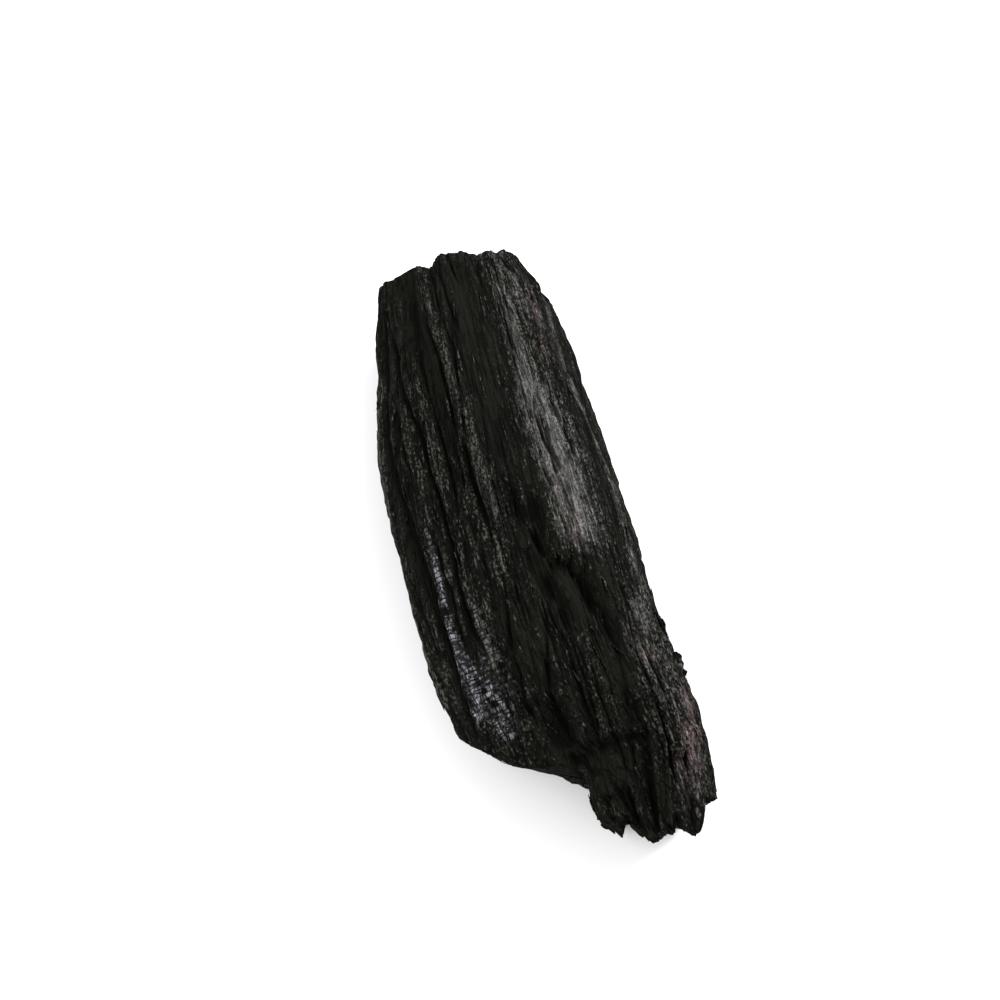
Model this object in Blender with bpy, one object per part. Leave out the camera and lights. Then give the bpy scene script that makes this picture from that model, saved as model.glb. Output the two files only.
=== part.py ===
"""A lump of hardwood charcoal, as one solid.

The lump lies along +X with its jagged end at +X, and rests on Z = 0. Its skin is a grid of points:
rings round a core line, closed by a broken face at each end. A section is a polygon of flat split
faces, and the grain, furrows, ledges and hollows are raised from it or sunk into it by formulas.
Lengths are in millimetres until the mesh is made. A fibre angle is measured round the grain's own
axis: 0 faces +Y, 90 faces up.
"""
import bpy
import numpy as np

MM = 0.001

# The two edges seen from above, as (x, y), and the top of the lump, as (x, z).
LEFT_EDGE = [(-84, -15), (-73, -18.4), (-59, -22), (-44, -26.9), (-33, -30.4), (-20, -32.6),
             (0, -34.2), (24, -34.6), (45, -33.2), (84, -32)]
RIGHT_EDGE = [(-84, 28.2), (-72, 30.6), (-52, 32.3), (-20, 32.8), (0, 32.5), (18, 30), (40, 28.8),
              (53, 29.8), (66, 27.6), (84, 26.2)]
CREST = [(-84, 29), (-78, 31), (-60, 34), (-30, 37.5), (5, 39), (35, 38.5), (50, 37), (62, 34),
         (72, 30), (84, 26)]

# The core line that the sections are drawn round, as (x, y) and (x, z).
CORE_Y = [(-84, 8), (-60, 4.5), (-30, 1.5), (0, 0), (30, 1), (50, 6), (66, 12), (84, 13)]
CORE_Z = [(-84, 15), (-40, 16), (40, 16), (60, 13), (84, 10)]

# The split faces: the way each one faces in degrees, and its distance from the core line as a
# share of the way out to the edges, as (x, share). A higher sharpness gives crisper corners.
SPLIT_FACES = [
    (3, [(-84, 1), (84, 1)]),
    (44, [(-84, 0.94), (-30, 0.88), (84, 0.98)]),
    (84, [(-84, 0.97), (84, 1)]),
    (124, [(-84, 0.98), (-30, 0.93), (30, 0.92), (84, 0.92)]),
    (158, [(-84, 0.93), (-20, 0.92), (84, 0.93)]),
    (186, [(-84, 1), (84, 1)]),
    (228, [(-84, 0.90), (0, 0.88), (84, 0.95)]),
    (270, [(-84, 1), (84, 1)]),
    (312, [(-84, 0.90), (0, 0.90), (84, 0.95)]),
]
SHARPNESS = 11

# The underside is rubbed flat where it would reach lower than this.
RUBBED_FLAT = 0.45

# The break across the left side near the jagged end: its upper edge as (x, y) and (x, z), and how
# far it leans in for each millimetre down.
CUT_EDGE = [(20, -60), (36.6, -36), (41, -30.5), (48, -28.4), (53, -25.4), (57.4, -21.5),
            (61.2, -16), (63.4, -11), (64.6, -6.8), (66.2, -5.4), (75, -4.4), (84, -3.6)]
CUT_TOP = [(38, 14), (43, 16), (51, 22.5), (60, 27), (67, 31), (84, 27)]
CUT_LEAN = [(40, 0.55), (46, 0.75), (59, 0.8), (66, 0.3), (84, 0.15)]
CUT_UNEVEN = {"across": 4, "along": 6, "height": 1.1}

# The two broken ends seen from above, as (y, x), with how far each leans in below its upper edge
# for each millimetre down, the height of that edge, and how unevenly the fibres have snapped.
FAR_END = {
    "line": [(-20, -79.4), (-16, -83.4), (-13, -84.8), (-9, -83.4), (-5, -82.2), (-1, -80.1), (1, -80.1),
             (3.5, -82.2), (9, -82.4), (13, -78.7), (17, -80.4), (22, -82.8), (24.5, -81), (26, -75.7),
             (28.5, -69.6), (32, -63)],
    "lean": 0.10, "top": 30, "uneven": 1.1, "outward": -1}
NEAR_END = {
    "line": [(-8, 70), (-4.5, 74.5), (-3, 76.2), (-1.2, 78), (0.7, 80.8), (1.5, 78.2), (2.4, 77.4),
             (5.2, 78.4), (5.8, 81), (6.8, 84), (9.9, 83.6), (10.6, 82.4), (12.2, 83.2), (12.7, 80.4),
             (13.8, 80.2), (14.5, 82.8), (16.5, 85.2), (18.8, 84), (20.4, 81.2), (21.5, 78.4),
             (24.8, 77.8), (26.2, 75), (28, 71), (32, 66)],
    "lean": 0.5, "top": 20, "uneven": 1.0, "outward": 1}
SNAPPED = {"across": 4, "along": 1}

# The grain's own axis, and how much narrower its fan of fibres is toward the far end.
GRAIN_AXIS_Y = [(-84, 8), (20, -1), (84, -1)]
GRAIN_AXIS_Z = 15
GRAIN_SPREAD = [(-84, 0.72), (20, 1), (84, 1)]

# Furrows: the (x, fibre angle) points that each follows, its half width and its depth.
FURROWS = [
    ([(-76, 165), (-35, 164), (-22, 161), (-8, 156), (4, 153), (16, 151)], 1.5, 2.8),
    ([(10, 152), (22, 151), (31, 153), (42, 157), (52, 162)], 0.8, 2.2),
    ([(-76, 161), (-60, 153), (-42, 145), (-31, 141), (-18, 137), (-9, 135), (3, 136), (22, 137)], 0.55, 1.7),
    ([(-84, 141), (-65, 134), (-50, 127), (-38, 123), (-26, 121), (-8, 121)], 2.5, 2.0),
    ([(-64, 127), (-50, 118.5), (-39, 116), (-30, 115.5), (-21, 113), (-12, 112), (3, 109)], 0.7, 1.6),
    ([(-54, 135.5), (-44, 132), (-30, 129), (-8, 128)], 0.45, 1.1),
    ([(-44, 156), (-33, 150.5), (-24, 147.5), (-12, 148)], 0.5, 1.2),
    ([(-6, 140), (5, 142), (19, 141.5), (29, 143)], 0.5, 1.4),
    ([(12, 166), (26, 169), (35, 170), (47, 168)], 0.6, 1.3),
    ([(-68, 106), (-56, 101)], 0.4, 0.9),
    ([(-31, 61), (-26, 63), (-18, 63), (-13, 62)], 0.45, 1.7),
    ([(-36, 40), (-28, 40), (-21, 44), (-9, 48)], 0.4, 1.3),
    ([(-68, 32), (-61, 31), (-52, 32)], 0.55, 1.2),
    ([(-58, 30), (-43, 29)], 0.4, 0.8),
    ([(-57, 16), (-40, 17)], 0.4, 1.0),
    ([(-72, 59), (-58, 57), (-46, 57)], 0.4, 0.8),
    ([(-68, 64), (-55, 63), (-46, 63)], 0.35, 0.8),
    ([(-81, 57), (-69, 59)], 0.5, 1.0),
    ([(-12, 42), (0, 41)], 0.4, 0.9),
    ([(-66, 47), (-48, 43), (-38, 40)], 0.5, 0.8),
    ([(-20, 52), (2, 50)], 0.4, 0.7),
    ([(-78, 74), (-60, 76)], 0.6, 0.7),
    ([(-76, 108), (-46, 103), (-30, 101)], 0.7, 0.8),
    ([(20, 38), (30, 39), (38, 40)], 0.45, 1.1),
    ([(40, 42), (48, 43), (56, 42), (62, 41), (74, 39)], 0.6, 2.8),
    ([(44, 35), (56, 32)], 0.45, 1.1),
    ([(26, 58), (33, 55), (41, 58), (50, 58), (60, 59)], 1.5, 2.0),
    ([(50, 57), (59, 56), (68, 55)], 0.5, 1.2),
    ([(28, 95), (38, 100), (48, 107), (58, 110)], 0.6, 1.4),
    ([(40, 87), (52, 88), (66, 88)], 0.55, 1.5),
    ([(44, 77), (60, 76), (70, 75)], 0.4, 0.9),
    ([(20, 112), (34, 118), (52, 124)], 0.5, 0.9),
    ([(70, 80), (84, 78)], 0.5, 2.0),
    ([(70, 88), (80, 87)], 0.5, 1.2),
    ([(66, 58), (82, 57)], 0.5, 1.4),
    ([(-60, 205), (-20, 200), (20, 204)], 0.9, 1.6),
    ([(-30, 225), (10, 222), (50, 228)], 0.6, 1.2),
    ([(-70, 338), (-30, 342), (10, 340)], 0.8, 1.5),
    ([(-10, 322), (30, 318), (66, 322)], 0.7, 1.4),
    ([(-76, 12), (-40, 14), (-10, 12)], 0.6, 1.0),
    ([(10, 356), (40, 358), (70, 355)], 0.8, 1.3),
    ([(-50, 250), (-10, 256), (30, 252)], 0.6, 1.0),
    ([(-20, 290), (20, 284), (60, 288)], 0.6, 1.0),
]

# Round ribs along the grain: (x, fibre angle) points, half width and height.
RIBS = [
    ([(-10, 146), (11, 146), (38, 147), (50, 147)], 1.8, 1.1),
    ([(-82, 124), (-64, 119), (-51, 114), (-32, 108), (-20, 106), (2, 103)], 2.0, 0.9),
    ([(-76, 176), (-20, 178), (36, 178)], 2.4, 0.8),
    ([(-76, 66), (-46, 69), (-10, 79)], 2.5, 0.5),
]

# A layer has split off the middle of the near half. Its ragged edge is at these (x, fibre angle)
# points, its thickness is given as (x, thickness), and it thins out between the last two angles.
SPLIT_LAYER = {
    "edge": [(-12, 96), (-6, 91), (0, 87), (4, 85), (10, 81), (14, 79), (17, 73), (20, 63), (27, 60),
             (31, 54), (36, 52), (44, 55), (52, 57), (60, 62), (84, 76)],
    "thickness": [(-12, 0), (-2, 2.6), (20, 3.2), (36, 2.8), (60, 1.4), (84, 0.8)],
    "ragged": 2.0, "thins": (88, 118)}

# Hollows about a spot: (x, fibre angle), half length, half width and depth. A depth below zero is
# a swelling: the knot in the split layer's corner and two burrs on the right side.
HOLLOWS = [
    ((5, 87), 8, 2.6, 1.9),
    ((14, 91), 5, 3.0, 1.6),
    ((22, 90), 4.5, 2.6, 1.7),
    ((29, 79), 4.5, 2.8, 1.9),
    ((23, 76), 6, 3.6, -0.8),
    ((25, 62), 6, 2.2, 1.8),
    ((33, 58), 5, 3.0, 1.4),
    ((56, 110), 6, 4.5, 2.8),
    ((46, 20), 1.6, 1.5, -1.9),
    ((37, 18), 0.9, 0.8, -1.0),
    ((-78, 40), 6, 3.0, 1.2),
]

# Ledges where a layer ends: x, the two fibre angles it spans, its height and how ragged it is.
LEDGES = [
    (61.5, 54, 112, 2.4, 0.9),
    (72.5, 76, 112, 1.8, 0.9),
    (54.5, 46, 58, 1.0, 0.8),
    (67.5, 29, 42, 1.6, 1.0),
    (50.0, 104, 128, 1.1, 2.5),
    (18.0, 60, 68, 0.9, 3.0),
]

# The grain everywhere: bundles of fibres, with their width, their length, their unevenness, and
# the depth and half width of the cracks between them. Splinters are what ledges break off along.
BUNDLE = {"across": 8, "along": 170, "uneven": 1.0, "crack": 0.45, "crack_share": 0.07}
SPLINTER = {"across": 3, "along": 9999}

# Waves of the whole skin, each with its reach across and along the grain and its height, and the
# sways of the grain, which carry it sideways, or turn the lines that follow it by some degrees.
WAVES = {"across": 18, "along": 55, "height": 0.9}
RIPPLES = {"across": 4.5, "along": 13, "height": 0.45}
SLOW_SWAY = {"across": 30, "along": 80, "carry": 0.9}
QUICK_SWAY = {"across": 9, "along": 30, "carry": 0.2}
LINE_SWAY = {"across": 12, "along": 24, "degrees": 1.3}

# How gently things end: a ledge's fall along the grain, a split layer's fall across it, the
# degrees in which a ledge dies out, and how far past and inside its ends a furrow or rib does.
LEDGE_FALL = 1.2
LAYER_FALL = 0.7
LEDGE_SIDE = 2
FURROW_ENDS = (-3, 7)
RIB_ENDS = (-4, 6)
HOLLOW_ENDS = (0.3, 1.2)

# The mesh: points round a ring, rings along the sides, and rings on each broken end. Points crowd
# toward the top of a ring, and rings crowd toward the jagged end.
POINTS_ROUND = 116
RINGS_ALONG = 40
RINGS_ON_END = 4
RIM_STEPS = 8
STEP_FADES = 8
CROWD_TOP = 0.30
CROWD_NEAR = 0.08
FAR_AWAY = 999

CHARCOAL = (0.014, 0.014, 0.0125, 1)


def eased(points, x):
    """A smooth curve through (x, value) points: cubic between them, sloped as their neighbours are."""
    px, py = np.array(points, float).T
    slope = np.gradient(py, px)
    x = np.clip(x, px[0], px[-1])
    i = np.clip(np.searchsorted(px, x) - 1, 0, len(px) - 2)
    gap = px[i + 1] - px[i]
    t = (x - px[i]) / gap
    start = (1 + 2 * t) * (1 - t) ** 2 * py[i] + t * (1 - t) ** 2 * gap * slope[i]
    return start + t * t * (3 - 2 * t) * py[i + 1] + t * t * (t - 1) * gap * slope[i + 1]


def ramp(x, low, high):
    """0 below low, 1 above high, and a smooth rise between."""
    t = np.clip((x - low) / (high - low), 0, 1)
    return t * t * (3 - 2 * t)


def chance(cell, seed):
    """A number from 0 to 1 for each whole-numbered cell of space, the same each run."""
    i, j, k = (cell[..., n].astype(np.int64) for n in range(3))
    h = (i * 374761393 + j * 668265263 + k * 1103515245 + seed * 362437) & 0xFFFFFFFF
    h = ((h ^ (h >> 15)) * 2246822519) & 0xFFFFFFFF
    h = ((h ^ (h >> 13)) * 3266489917) & 0xFFFFFFFF
    return ((h ^ (h >> 16)) & 0xFFFFFF) / 0xFFFFFF


def noise(p, seed):
    """Smooth noise from -1 to 1: the corners of each unit cell hold chance numbers, blended between."""
    base = np.floor(p)
    t = p - base
    t = t ** 3 * (t * (t * 6 - 15) + 10)
    total = 0
    for corner in np.ndindex(2, 2, 2):
        share = np.prod(np.where(corner, t, 1 - t), axis=-1)
        total = total + chance(base + corner, seed) * share
    return total * 2 - 1


def reach(place, kind):
    """A place in units of how far a kind of noise or fibre reaches across and along the grain."""
    return place / [kind["across"], kind["across"], kind["along"]]


def bundles(p, seed):
    """Space split into cells round scattered points: how far inside its cell each place is, and a
    number from 0 to 1 of the cell's own."""
    base = np.floor(p)
    first = np.full(p.shape[:-1], 9.0)
    second = np.full(p.shape[:-1], 9.0)
    own = np.zeros(p.shape[:-1])
    for step in np.ndindex(3, 3, 3):
        cell = base + step - 1
        point = cell + np.stack([chance(cell, seed + n) for n in range(3)], -1)
        gap = np.sqrt(((point - p) ** 2).sum(-1))
        nearer = gap < first
        second = np.where(nearer, first, np.minimum(second, gap))
        own = np.where(nearer, chance(cell, seed + 3), own)
        first = np.where(nearer, gap, first)
    return (second - first) / 2, own


def core(x):
    """The y and z of the core line at x."""
    return eased(CORE_Y, x), eased(CORE_Z, x)


def section_radius(angle, x):
    """The way from the core line out to the split faces: 1 / (sum of (cos(turn) / distance)^n)^(1/n)
    over the faces, which is the nearest face, rounded where two faces meet."""
    core_y, core_z = core(x)
    above = eased(CREST, x) - core_z
    total = np.zeros(np.broadcast(angle, x).shape)
    for facing, shares in SPLIT_FACES:
        turn = np.radians(facing)
        height = above if np.sin(turn) > 0 else core_z
        width = eased(RIGHT_EDGE, x) - core_y if np.cos(turn) > 0 else core_y - eased(LEFT_EDGE, x)
        distance = eased(shares, x) * np.hypot(width * np.cos(turn), height * np.sin(turn))
        total += (np.maximum(np.cos(angle - turn), 0) / distance) ** SHARPNESS
    return total ** (-1 / SHARPNESS)


def cut_radius(angle, x):
    """The way from the core line out to the break across the left side, or very far where the
    break doesn't lie that way."""
    core_y, core_z = core(x)
    lean = eased(CUT_LEAN, x)
    edge_x, edge_y = np.array(CUT_EDGE, float).T
    inside = core_y - np.interp(x, edge_x, edge_y) - lean * (eased(CUT_TOP, x) - core_z)
    toward = -(np.cos(angle) + lean * np.sin(angle))
    r = inside / np.maximum(toward, inside / FAR_AWAY)
    place = np.stack([r * np.cos(angle), r * np.sin(angle), x + 0 * r], -1)
    return r + CUT_UNEVEN["height"] * noise(reach(place, CUT_UNEVEN), 72)


def end_face(y, z, end):
    """The x of a broken end at y and z: its line seen from above, leaning in below its upper edge,
    with the fibres snapped at uneven lengths."""
    line_y, line_x = np.array(end["line"], float).T
    snapped = noise(reach(np.stack([y, z, 0 * y], -1), SNAPPED), 71)
    inward = end["lean"] * np.maximum(end["top"] - z, 0) + end["uneven"] * snapped
    return np.interp(y, line_y, line_x) - end["outward"] * inward


def end_rim(angle, end):
    """The x where the sides meet a broken end, found by half steps from the end's line to its face."""
    x = np.full(angle.shape, np.mean(end["line"], axis=0)[1])
    for _ in range(RIM_STEPS):
        core_y, core_z = core(x)
        r = np.minimum(section_radius(angle, x), cut_radius(angle, x))
        x = (x + end_face(core_y + r * np.cos(angle), core_z + r * np.sin(angle), end)) / 2
    return x


def along(path, x):
    """The fibre angle of a path at x, and how far x lies inside the path's two ends."""
    path_x, path_angle = np.array(path, float).T
    return np.interp(x, path_x, path_angle), np.minimum(x - path_x[0], path_x[-1] - x)


def relief(angle, x, r):
    """How far the skin stands out from the split faces, given where it is."""
    core_y, core_z = core(x)
    spread = eased(GRAIN_SPREAD, x)
    across = (core_y + r * np.cos(angle) - eased(GRAIN_AXIS_Y, x)) / spread
    up = (core_z + r * np.sin(angle) - GRAIN_AXIS_Z) / spread
    place = np.stack([across, up, x + 0 * across], -1)
    one_degree = np.hypot(across, up) * np.pi / 180

    # The grain sways a little, and so do the lines that follow it.
    quick = QUICK_SWAY["carry"] * noise(reach(place, QUICK_SWAY), 7)
    sway_y = SLOW_SWAY["carry"] * noise(reach(place, SLOW_SWAY), 5) + quick
    sway_z = SLOW_SWAY["carry"] * noise(reach(place, SLOW_SWAY), 6) + quick
    grain = place + np.stack([sway_y, sway_z, 0 * quick], -1)
    fibre_angle = np.degrees(np.arctan2(up, across)) % 360
    fibre_angle += LINE_SWAY["degrees"] * noise(reach(place, LINE_SWAY), 8)

    # Waves, ripples and bundles of fibres cover the whole skin.
    out = WAVES["height"] * noise(reach(place, WAVES), 11)
    out += RIPPLES["height"] * noise(reach(place, RIPPLES), 15)
    inside, own = bundles(reach(grain, BUNDLE), 21)
    out += BUNDLE["uneven"] * (own - 0.5)
    out -= BUNDLE["crack"] * (1 - ramp(inside, 0, BUNDLE["crack_share"]))

    # Ribs and furrows follow their paths.
    for path, half_width, height in RIBS:
        middle, inside = along(path, x)
        away = (fibre_angle - middle) * one_degree / half_width
        out += height * ramp(inside, *RIB_ENDS) * np.exp(-away ** 2)
    for path, half_width, depth in FURROWS:
        middle, inside = along(path, x)
        turn = (fibre_angle - middle + 180) % 360 - 180
        away = np.abs(turn) * one_degree / half_width
        out -= depth * ramp(inside, *FURROW_ENDS) / (1 + away ** 3)

    # The split layer, the hollows and the ledges have broken away splinter by splinter.
    _, splinter = bundles(reach(grain, SPLINTER), 31)
    edge_x, edge_angle = np.array(SPLIT_LAYER["edge"], float).T
    ragged_x = x - 2 * SPLIT_LAYER["ragged"] * (splinter - 0.5)
    past_edge = (fibre_angle - np.interp(ragged_x, edge_x, edge_angle)) * one_degree
    lost = ramp(past_edge, -LAYER_FALL, LAYER_FALL) * (1 - ramp(fibre_angle, *SPLIT_LAYER["thins"]))
    out -= eased(SPLIT_LAYER["thickness"], x) * lost
    for (spot_x, spot_angle), half_length, half_width, depth in HOLLOWS:
        aside = (fibre_angle - spot_angle) * one_degree
        away = np.hypot((x - spot_x) / half_length, aside / half_width)
        out -= depth * (1 - ramp(away, *HOLLOW_ENDS))
    for ledge_x, low, high, height, ragged in LEDGES:
        start = ledge_x + (splinter - 0.5) * 2 * ragged
        beside = ramp(fibre_angle, low - LEDGE_SIDE, low)
        beside *= 1 - ramp(fibre_angle, high, high + LEDGE_SIDE)
        out -= height * ramp(x, start - LEDGE_FALL, start + LEDGE_FALL) * beside
    return out


def end_rings(rim, end):
    """The rings and the middle point of a broken end, drawn in from its rim."""
    share = np.linspace(1, 0, RINGS_ON_END + 1)[1:-1, None]
    middle_y = rim[:, 1].mean()
    middle_z = rim[:, 2].mean()
    y = middle_y + (rim[:, 1] - middle_y) * share
    z = middle_z + (rim[:, 2] - middle_z) * share
    step_at_rim = rim[:, 0] - end_face(rim[:, 1], rim[:, 2], end)
    x = end_face(y, z, end) + step_at_rim * share ** STEP_FADES
    middle_x = end_face(np.array([middle_y]), np.array([middle_z]), end)[0]
    return np.stack([x, y, z], -1), [middle_x, middle_y, middle_z]


def skin():
    """All rings of the skin in order from the far end to the near one, and the two middle points."""
    turn = np.linspace(0, 2 * np.pi, POINTS_ROUND, endpoint=False)
    angle = turn + CROWD_TOP * np.cos(turn)
    v = np.linspace(0, 1, RINGS_ALONG)[:, None]
    v = v + CROWD_NEAR * np.sin(np.pi * v)
    x = end_rim(angle, FAR_END) * (1 - v) + end_rim(angle, NEAR_END) * v
    core_y, core_z = core(x)
    r = section_radius(angle, x)
    r = np.minimum(r + relief(angle, x, r), cut_radius(angle, x))
    z = np.maximum(core_z + r * np.sin(angle), RUBBED_FLAT)
    sides = np.stack([x, core_y + r * np.cos(angle), z], -1)
    far_rings, far_middle = end_rings(sides[0], FAR_END)
    near_rings, near_middle = end_rings(sides[-1], NEAR_END)
    return np.concatenate([far_rings[::-1], sides, near_rings]), far_middle, near_middle


def lump_mesh():
    """The closed mesh: four-cornered faces between rings, and a fan of triangles at each middle."""
    rings, far_middle, near_middle = skin()
    ring_count, n = rings.shape[:2]
    points = np.concatenate([rings.reshape(-1, 3), [far_middle, near_middle]])
    low, high = points.min(0), points.max(0)
    points -= [(low[0] + high[0]) / 2, (low[1] + high[1]) / 2, low[2]]

    ring, k = np.meshgrid(np.arange(ring_count - 1), np.arange(n), indexing="ij")
    after = (k + 1) % n
    corners = [ring * n + k, ring * n + after, (ring + 1) * n + after, (ring + 1) * n + k]
    between = np.stack(corners, -1).reshape(-1, 4)
    k = np.arange(n)
    after = (k + 1) % n
    last = (ring_count - 1) * n
    far_fan = np.stack([np.full(n, ring_count * n), after, k], -1)
    near_fan = np.stack([np.full(n, ring_count * n + 1), last + k, last + after], -1)

    mesh = bpy.data.meshes.new("charcoal_lump")
    faces = between.tolist() + far_fan.tolist() + near_fan.tolist()
    mesh.from_pydata((points * MM).tolist(), [], faces)
    mesh.shade_smooth()
    mesh.set_sharp_from_angle(angle=np.radians(50))
    return mesh


def charcoal():
    """Near-black charcoal with a dull, slightly uneven shine."""
    material = bpy.data.materials.new("charcoal")
    material.use_nodes = True
    surface = material.node_tree.nodes["Principled BSDF"]
    surface.inputs["Base Color"].default_value = CHARCOAL
    surface.inputs["Roughness"].default_value = 0.65
    surface.inputs["Metallic"].default_value = 0
    return material


for old in list(bpy.data.objects):
    bpy.data.objects.remove(old)

lump = bpy.data.objects.new("charcoal_lump", lump_mesh())
lump.data.materials.append(charcoal())
bpy.context.scene.collection.objects.link(lump)
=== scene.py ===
"""The looks of a lump of hardwood charcoal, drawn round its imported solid.

Lengths are in millimetres in the form's own frame, where the core line runs, until a mesh is made.
A fibre angle is measured round the grain's own axis: 0 faces +Y, 90 faces up.
"""
import bpy
import numpy as np
from mathutils import Matrix, Vector


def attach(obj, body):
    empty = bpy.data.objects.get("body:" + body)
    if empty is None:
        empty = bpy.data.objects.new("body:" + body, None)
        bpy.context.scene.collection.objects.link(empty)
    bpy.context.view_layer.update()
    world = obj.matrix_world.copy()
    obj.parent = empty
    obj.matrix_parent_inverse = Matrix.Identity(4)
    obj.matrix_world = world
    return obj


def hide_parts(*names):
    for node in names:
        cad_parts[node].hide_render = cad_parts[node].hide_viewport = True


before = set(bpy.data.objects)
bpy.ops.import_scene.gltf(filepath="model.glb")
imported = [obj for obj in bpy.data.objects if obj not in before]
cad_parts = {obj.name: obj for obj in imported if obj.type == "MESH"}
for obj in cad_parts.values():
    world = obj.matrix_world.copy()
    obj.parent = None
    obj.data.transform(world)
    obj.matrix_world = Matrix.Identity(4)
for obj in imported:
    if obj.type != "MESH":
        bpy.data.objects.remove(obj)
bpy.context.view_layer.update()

# The split log
# A piece of hardwood trunk, split along its grain with an axe, so its section is a polygon of flat
# faces round a core line. It was charred whole, which shrank it and left it all of one material.
MM = 0.001
LEFT_EDGE = [(-84, -15), (-73, -18.4), (-59, -22), (-44, -26.9), (-33, -30.4), (-20, -32.6),
             (0, -34.2), (24, -34.6), (45, -33.2), (84, -32)]
RIGHT_EDGE = [(-84, 28.2), (-72, 30.6), (-52, 32.3), (-20, 32.8), (0, 32.5), (18, 30), (40, 28.8),
              (53, 29.8), (66, 27.6), (84, 26.2)]
CREST = [(-84, 29), (-78, 31), (-60, 34), (-30, 37.5), (5, 39), (35, 38.5), (50, 37), (62, 34),
         (72, 30), (84, 26)]
CORE_Y = [(-84, 8), (-60, 4.5), (-30, 1.5), (0, 0), (30, 1), (50, 6), (66, 12), (84, 13)]
CORE_Z = [(-84, 15), (-40, 16), (40, 16), (60, 13), (84, 10)]
# A split face has the degrees it faces and its distance from the core line, as a share of what
# the edges and the crest give, in (x, share) points.
SPLIT_FACES = [
    (3, [(-84, 1), (84, 1)]),
    (44, [(-84, 0.94), (-30, 0.88), (84, 0.98)]),
    (84, [(-84, 0.97), (84, 1)]),
    (124, [(-84, 0.98), (-30, 0.93), (30, 0.92), (84, 0.92)]),
    (158, [(-84, 0.93), (-20, 0.92), (84, 0.93)]),
    (186, [(-84, 1), (84, 1)]),
    (228, [(-84, 0.90), (0, 0.88), (84, 0.95)]),
    (270, [(-84, 1), (84, 1)]),
    (312, [(-84, 0.90), (0, 0.90), (84, 0.95)]),
]
SHARPNESS = 11
RUBBED_FLAT = 0.45


def eased(points, x):
    """A smooth curve through (x, value) points: cubic between them, sloped as their neighbours are."""
    px, py = np.array(points, float).T
    slope = np.gradient(py, px)
    x = np.clip(x, px[0], px[-1])
    i = np.clip(np.searchsorted(px, x) - 1, 0, len(px) - 2)
    gap = px[i + 1] - px[i]
    t = (x - px[i]) / gap
    start = (1 + 2 * t) * (1 - t) ** 2 * py[i] + t * (1 - t) ** 2 * gap * slope[i]
    return start + t * t * (3 - 2 * t) * py[i + 1] + t * t * (t - 1) * gap * slope[i + 1]


def ramp(x, low, high):
    """0 below low, 1 above high, and the smooth rise 3t^2 - 2t^3 between."""
    t = np.clip((x - low) / (high - low), 0, 1)
    return t * t * (3 - 2 * t)


def core(x):
    """The y and z of the core line at x."""
    return eased(CORE_Y, x), eased(CORE_Z, x)


def section_radius(angle, x):
    """The way from the core line out to the split faces: 1 / (sum of (cos(turn) / distance)^n)^(1/n)
    over the faces, which is the nearest face, rounded where two faces meet."""
    core_y, core_z = core(x)
    above = eased(CREST, x) - core_z
    total = np.zeros(np.broadcast(angle, x).shape)
    for facing, shares in SPLIT_FACES:
        turn = np.radians(facing)
        height = above if np.sin(turn) > 0 else core_z
        width = eased(RIGHT_EDGE, x) - core_y if np.cos(turn) > 0 else core_y - eased(LEFT_EDGE, x)
        distance = eased(shares, x) * np.hypot(width * np.cos(turn), height * np.sin(turn))
        total += (np.maximum(np.cos(angle - turn), 0) / distance) ** SHARPNESS
    return total ** (-1 / SHARPNESS)


# The grain
# Wood is bundles of long fibres. Charring parts them, so each bundle lies a little higher or lower
# than the next with a crack between, and bundles are made of finer strands and of single fibres.
GRAIN_AXIS_Y = [(-84, 8), (20, -1), (84, -1)]
GRAIN_AXIS_Z = 15
GRAIN_SPREAD = [(-84, 0.72), (20, 1), (84, 1)]
BUNDLE = {"across": 8, "along": 170, "uneven": 1.0, "crack": 0.45, "crack_share": 0.07, "seed": 21}
STRAND = {"across": 2.6, "along": 52, "uneven": 0.65, "crack": 0.45, "crack_share": 0.07, "seed": 41}
FIBRE = {"across": 0.95, "along": 17, "uneven": 0.3, "crack": 0.2, "crack_share": 0.12, "seed": 51}
WAVES = {"across": 18, "along": 55, "height": 0.9, "seed": 11}
RIPPLES = {"across": 4.5, "along": 13, "height": 0.45, "seed": 15}
CRUMBS = {"across": 0.8, "along": 2.2, "height": 0.2, "seed": 61}
SLOW_SWAY = {"across": 30, "along": 80, "carry": 0.9, "seed": 5}
SLOW_SWAY_UP = {**SLOW_SWAY, "seed": 6}
QUICK_SWAY = {"across": 9, "along": 30, "carry": 0.2, "seed": 7}
LINE_SWAY = {"across": 12, "along": 24, "degrees": 1.3, "seed": 8}


def chance(cell, seed):
    """A number from 0 to 1 for each whole-numbered cell of space, the same each run."""
    i, j, k = (cell[..., n].astype(np.int64) for n in range(3))
    h = (i * 374761393 + j * 668265263 + k * 1103515245 + seed * 362437) & 0xFFFFFFFF
    h = ((h ^ (h >> 15)) * 2246822519) & 0xFFFFFFFF
    h = ((h ^ (h >> 13)) * 3266489917) & 0xFFFFFFFF
    return ((h ^ (h >> 16)) & 0xFFFFFF) / 0xFFFFFF


def noise(p, seed):
    """Smooth noise from -1 to 1: the corners of each unit cell hold chance numbers, blended between."""
    base = np.floor(p)
    t = p - base
    t = t ** 3 * (t * (t * 6 - 15) + 10)
    total = 0
    for corner in np.ndindex(2, 2, 2):
        share = np.prod(np.where(corner, t, 1 - t), axis=-1)
        total = total + chance(base + corner, seed) * share
    return total * 2 - 1


def reach(place, kind):
    """A place in units of how far a kind of noise or fibre reaches across and along the grain."""
    return place / [kind["across"], kind["across"], kind["along"]]


def swell(place, kind):
    """Smooth noise from -1 to 1 of one kind, with the kind's own reach and seed."""
    return noise(reach(place, kind), kind["seed"])


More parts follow.
